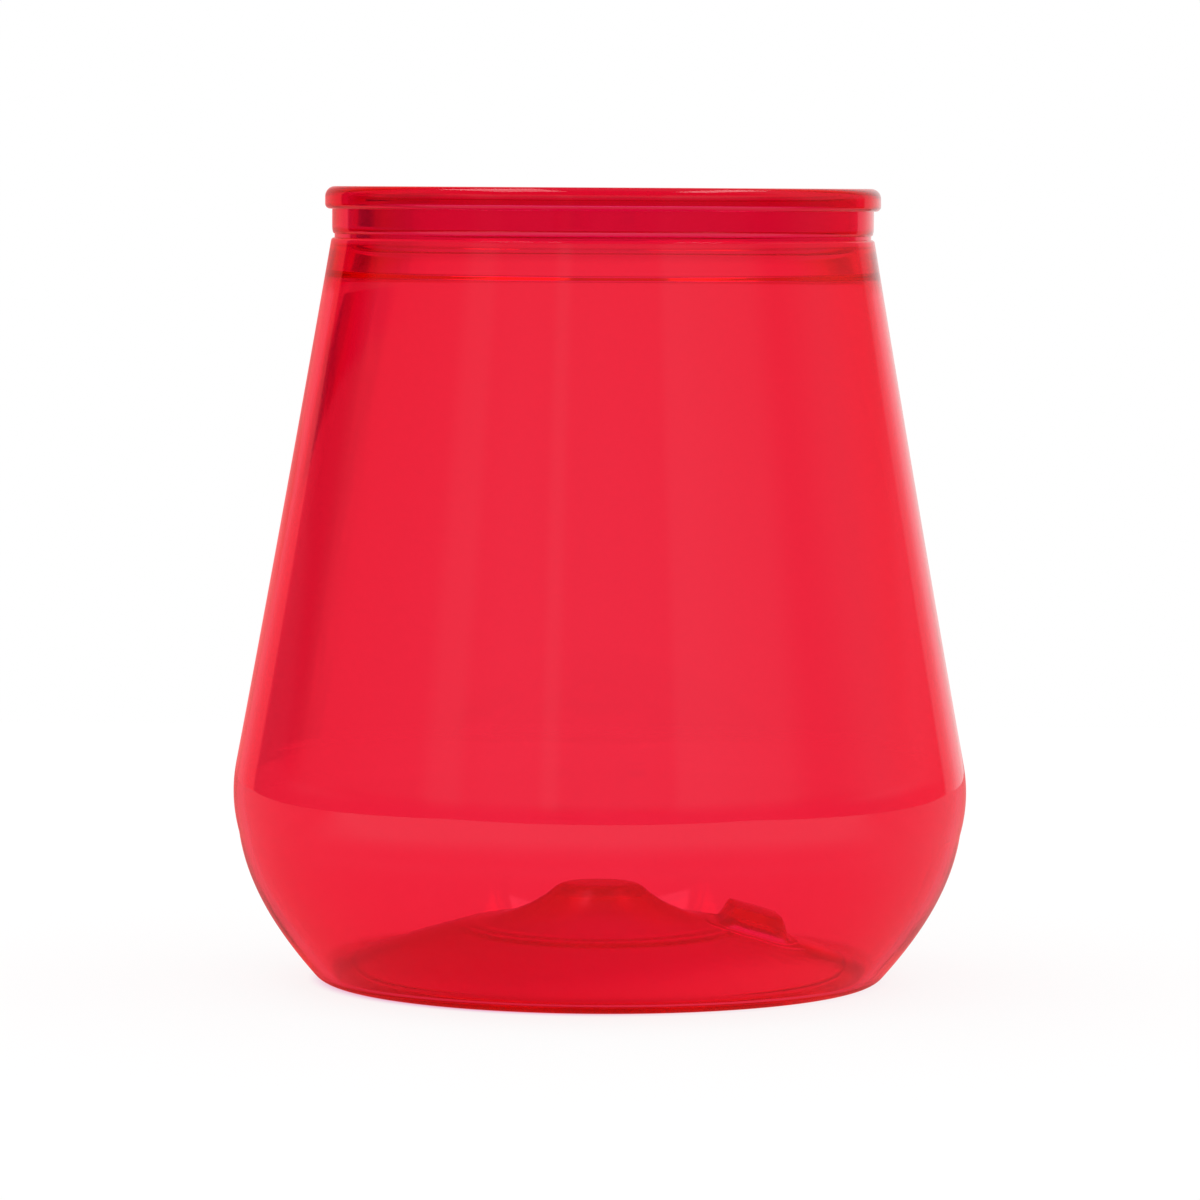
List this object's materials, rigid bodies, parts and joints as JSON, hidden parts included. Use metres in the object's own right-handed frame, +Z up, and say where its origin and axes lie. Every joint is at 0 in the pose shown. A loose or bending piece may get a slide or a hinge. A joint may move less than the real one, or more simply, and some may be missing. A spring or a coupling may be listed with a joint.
{
  "type": "tumbler",
  "caption": "Stemless translucent plastic tumbler with a flanged drinking rim, a cone that flares down to a round belly, and a bowl on a pushed-up base.",
  "frame": {"origin": "centre of the standing ring, in the plane of the table", "axes": "+Z up along the axis of the tumbler, +X towards the locator lug on the base floor, +Y away from the viewer of the picture"},
  "size_m": [0.088, 0.088, 0.0951],
  "materials": {
    "red_plastic": "clear-tinted red, glossy, smooth inside and out"
  },
  "bodies": {
    "root": {"tumbler_body": "red_plastic"}
  },
  "joints": []
}
